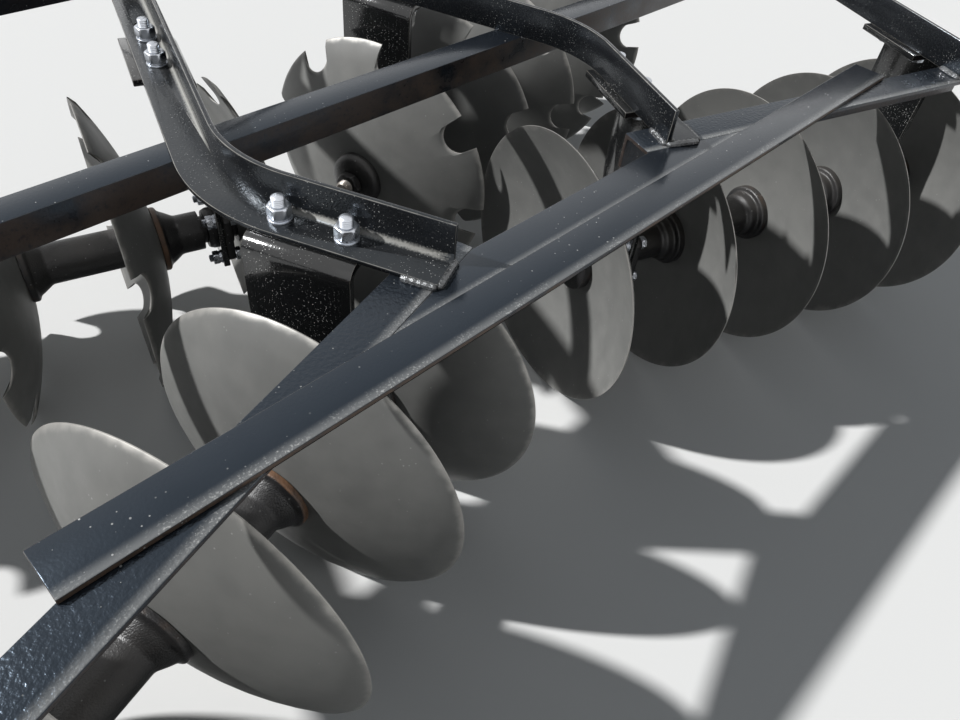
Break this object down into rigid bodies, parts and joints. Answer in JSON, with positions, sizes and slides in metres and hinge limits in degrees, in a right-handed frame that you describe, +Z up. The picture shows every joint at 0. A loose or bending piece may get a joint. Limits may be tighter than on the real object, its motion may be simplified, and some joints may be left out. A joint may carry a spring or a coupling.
{
  "type": "disc harrow",
  "caption": "Tandem disc harrow in an X layout, notched front discs and smooth rear discs on a frame of bent angle irons, with a three-point hitch.",
  "frame": {"origin": "centre of the outline on the ground, under the harrow", "axes": "+X across the machine toward its right, +Y forward, the way it is pulled, +Z up"},
  "size_m": [2.0408, 1.3829, 0.9845],
  "materials": {
    "notched_disc": "satin dark steel",
    "smooth_disc": "satin dark steel",
    "spool": "black paint",
    "axle": "bare steel",
    "end_cap": "black paint",
    "bearing": "black paint",
    "hanger": "gloss",
    "zinc_pin": "zinc plated",
    "frame_paint": "gloss"
  },
  "bodies": {
    "frame": {"mid_tube": "frame_paint", "front_tube": "frame_paint", "rear_bar": "frame_paint", "rear_center_bar": "frame_paint", "rear_gang_bar_left": "frame_paint", "rear_gang_bar_right": "frame_paint", "inner_angle_left": "frame_paint", "outer_angle_left": "frame_paint", "inner_angle_right": "frame_paint", "outer_angle_right": "frame_paint", "end_gussets": "frame_paint", "hanger_rear_inner_left": "hanger", "hanger_rear_inner_right": "hanger", "hanger_rear_outer_left": "hanger", "hanger_rear_outer_right": "hanger", "hanger_front_inner_left": "hanger", "hanger_front_inner_right": "hanger", "hanger_front_outer_left": "hanger", "hanger_front_outer_right": "hanger", "bearings_rear_left": "bearing", "bearings_rear_right": "bearing", "bearings_front_left": "bearing", "bearings_front_right": "bearing", "mast_tie": "frame_paint", "mast_left": "frame_paint", "mast_brace_left": "frame_paint", "hitch_lug_left": "frame_paint", "hitch_pin_left": "zinc_pin", "mast_right": "frame_paint", "mast_brace_right": "frame_paint", "hitch_lug_right": "frame_paint", "hitch_pin_right": "zinc_pin", "top_pin": "zinc_pin"},
    "gang_rear_left": {"discs_rear_left": "smooth_disc", "spools_rear_left": "spool", "axle_rear_left": "axle", "end_caps_rear_left": "end_cap"},
    "gang_rear_right": {"discs_rear_right": "smooth_disc", "spools_rear_right": "spool", "axle_rear_right": "axle", "end_caps_rear_right": "end_cap"},
    "gang_front_left": {"discs_front_left": "notched_disc", "spools_front_left": "spool", "axle_front_left": "axle", "end_caps_front_left": "end_cap"},
    "gang_front_right": {"discs_front_right": "notched_disc", "spools_front_right": "spool", "axle_front_right": "axle", "end_caps_front_right": "end_cap"}
  },
  "joints": [
    {"name": "spin_rear_left", "type": "hinge", "parent": "frame", "child": "gang_rear_left", "pos_m": [-0.169, -0.24525, 0.2286], "axis": [-0.9563, -0.2924, 0], "continuous": true},
    {"name": "spin_rear_right", "type": "hinge", "parent": "frame", "child": "gang_rear_right", "pos_m": [0.169, -0.24525, 0.2286], "axis": [0.9563, -0.2924, 0], "continuous": true},
    {"name": "spin_front_left", "type": "hinge", "parent": "frame", "child": "gang_front_left", "pos_m": [-0.15, 0.16475, 0.2286], "axis": [-0.9613, 0.2756, 0], "continuous": true},
    {"name": "spin_front_right", "type": "hinge", "parent": "frame", "child": "gang_front_right", "pos_m": [0.15, 0.16475, 0.2286], "axis": [0.9613, 0.2756, 0], "continuous": true}
  ]
}
